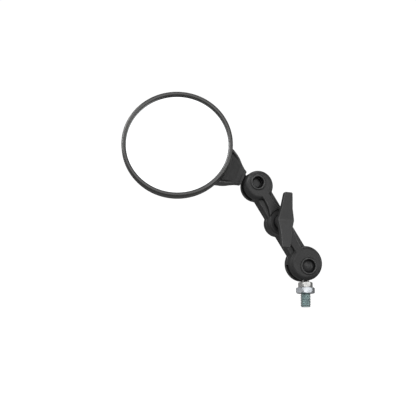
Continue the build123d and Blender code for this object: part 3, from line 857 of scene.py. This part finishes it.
glass_finish, tree, shader, place = new_finish("silvered convex glass")
haze = speckle(tree, place, 0.016, 3.0, 0.55)
tree.links.new(between(tree, haze, 0.0, 0.03, 0.45, 0.8), shader.inputs["Roughness"])
tree.links.new(
    blended(tree, between(tree, haze, 0.0, 1.0, 0.3, 0.75), (0.93, 0.94, 0.945), (0.90, 0.915, 0.925)),
    shader.inputs["Base Color"],
)
shader.inputs["Metallic"].default_value = 1.0
shader.inputs["Coat Weight"].default_value = 0.3
shader.inputs["Coat Roughness"].default_value = 0.02
dome = [
    (GLASS_R * share, GLASS_BULGE * (1 - share**2))
    for share in (0.97, 0.9, 0.8, 0.7, 0.6, 0.5, 0.4, 0.3, 0.2, 0.1, DOME_TOP)
]
glass_section = [
    (GLASS_R * DOME_TOP, -GLASS_THICKNESS),
    (GLASS_R - GLASS_ARRIS, -GLASS_THICKNESS),
    (GLASS_R, -GLASS_THICKNESS + GLASS_ARRIS),
    (GLASS_R, -GLASS_ARRIS),
    (GLASS_R - GLASS_ARRIS, 0),
] + dome
assembled(
    "glass", [round_piece(glass_section, loop=False)], glass_finish, "head", "mirror_glass", "mirror_glass"
)

foam_finish, tree, shader, place = new_finish("closed-cell foam")
CELL_SIZE = 0.0006
cells = node(tree, "ShaderNodeTexVoronoi", {"Vector": place, "Scale": 1 / CELL_SIZE}).outputs["Distance"]
tree.links.new(
    blended(tree, cells, (0.10, 0.10, 0.10), (0.03, 0.03, 0.03)), shader.inputs["Base Color"]
)
tree.links.new(between(tree, cells, 0.8, 0.95), shader.inputs["Roughness"])
relief(tree, shader, cells, 0.0001)
foam_top = -GLASS_THICKNESS - FOAM_GAP
foam_section = eased_section(
    [
        (GLASS_R - FOAM_WIDTH, foam_top - FOAM_THICKNESS, FOAM_ROUND),
        (GLASS_R, foam_top - FOAM_THICKNESS, FOAM_ROUND),
        (GLASS_R, foam_top, FOAM_ROUND),
        (GLASS_R - FOAM_WIDTH, foam_top, FOAM_ROUND),
    ]
)
foam = assembled("foam", [round_piece(foam_section)], foam_finish, "head", "pad_foam", "glass_pad")


# ---- Studio ----
# A floor and a surround that are white to the camera and dim to the object, a key light at
# the upper left, and soft cards in front, above, at both sides and where the mirror faces.
# The camera stands to the left of the front and looks slightly up.

FLOOR_LEVEL = -0.12
FLOOR_HALF = 4.0
floor_mesh = bpy.data.meshes.new("floor")
floor_mesh.from_pydata(
    [(x * FLOOR_HALF, y * FLOOR_HALF, FLOOR_LEVEL) for x, y in ((-1, -1), (1, -1), (1, 1), (-1, 1))],
    [],
    [(0, 1, 2, 3)],
)
floor = bpy.data.objects.new("floor", floor_mesh)
bpy.context.scene.collection.objects.link(floor)
floor_finish, tree, shader, place = new_finish("pale floor")
tree.links.new(
    blended(tree, speckle(tree, place, 0.3), (0.36, 0.36, 0.36), (0.40, 0.40, 0.40)),
    shader.inputs["Base Color"],
)
shader.inputs["Roughness"].default_value = 0.9
shader.inputs["Specular IOR Level"].default_value = 0.1
shader.inputs["Emission Color"].default_value = (1, 1, 1, 1)
seen = node(tree, "ShaderNodeLightPath").outputs["Is Camera Ray"]
tree.links.new(between(tree, seen, 0.0, 1.0), shader.inputs["Emission Strength"])
floor_mesh.materials.append(floor_finish)

SURROUND_SEEN = 1.05
SURROUND_LIGHT = 0.18
world = bpy.data.worlds.new("white surround")
world.use_nodes = True
tree = world.node_tree
seen = node(tree, "ShaderNodeLightPath").outputs["Is Camera Ray"]
surround = tree.nodes["Background"]
surround.inputs["Color"].default_value = (1, 1, 1, 1)
tree.links.new(between(tree, seen, SURROUND_LIGHT, SURROUND_SEEN), surround.inputs["Strength"])
bpy.context.scene.world = world


def soft_light(name, aim, place, size, power):
    """A rectangular area light at a place from what it lights, facing it."""
    lamp = bpy.data.lights.new(name, "AREA")
    lamp.shape = "RECTANGLE"
    lamp.size, lamp.size_y, lamp.energy = *size, power
    light = bpy.data.objects.new(name, lamp)
    light.location = aim + Vector(place)
    light.rotation_euler = (-Vector(place)).to_track_quat("-Z", "Y").to_euler()
    bpy.context.scene.collection.objects.link(light)


middle = (cad_box[0] + cad_box[1]) / 2
soft_light("mirror card", glass_at, (-0.20, -1.07, 0.51), (0.8, 0.8), 2.4)
soft_light("key", middle, (-0.80, -0.60, 0.75), (0.5, 0.5), 6.0)
soft_light("front", middle, (0.28, -1.08, 0.12), (0.7, 0.7), 2.1)
soft_light("right card", middle, (0.92, -0.42, 0.05), (0.6, 0.9), 2.6)
soft_light("left card", middle, (-0.98, 0.05, 0.10), (0.6, 0.8), 1.5)
soft_light("top", middle, (0.1, 0.15, 1.0), (0.6, 0.6), 2.5)

CAMERA_TURN = math.radians(-14.5)
CAMERA_TILT = math.radians(-8.7)
CAMERA_DISTANCE = 0.89
LOOK_AT = Vector((-0.0752, 0.0092, 0.0651))
FOCAL_LENGTH = 100      # millimetres, as is the sensor's width
SENSOR_WIDTH = 36
lens = bpy.data.cameras.new("camera")
lens.lens, lens.sensor_width = FOCAL_LENGTH, SENSOR_WIDTH
camera = bpy.data.objects.new("camera", lens)
back = Vector(
    (
        math.sin(CAMERA_TURN) * math.cos(CAMERA_TILT),
        -math.cos(CAMERA_TURN) * math.cos(CAMERA_TILT),
        math.sin(CAMERA_TILT),
    )
)
camera.location = LOOK_AT + back * CAMERA_DISTANCE
camera.rotation_mode = "QUATERNION"
camera.rotation_quaternion = (-back).to_track_quat("-Z", "Y")
bpy.context.scene.collection.objects.link(camera)
bpy.context.scene.camera = camera
bpy.context.scene.view_settings.view_transform = "Standard"
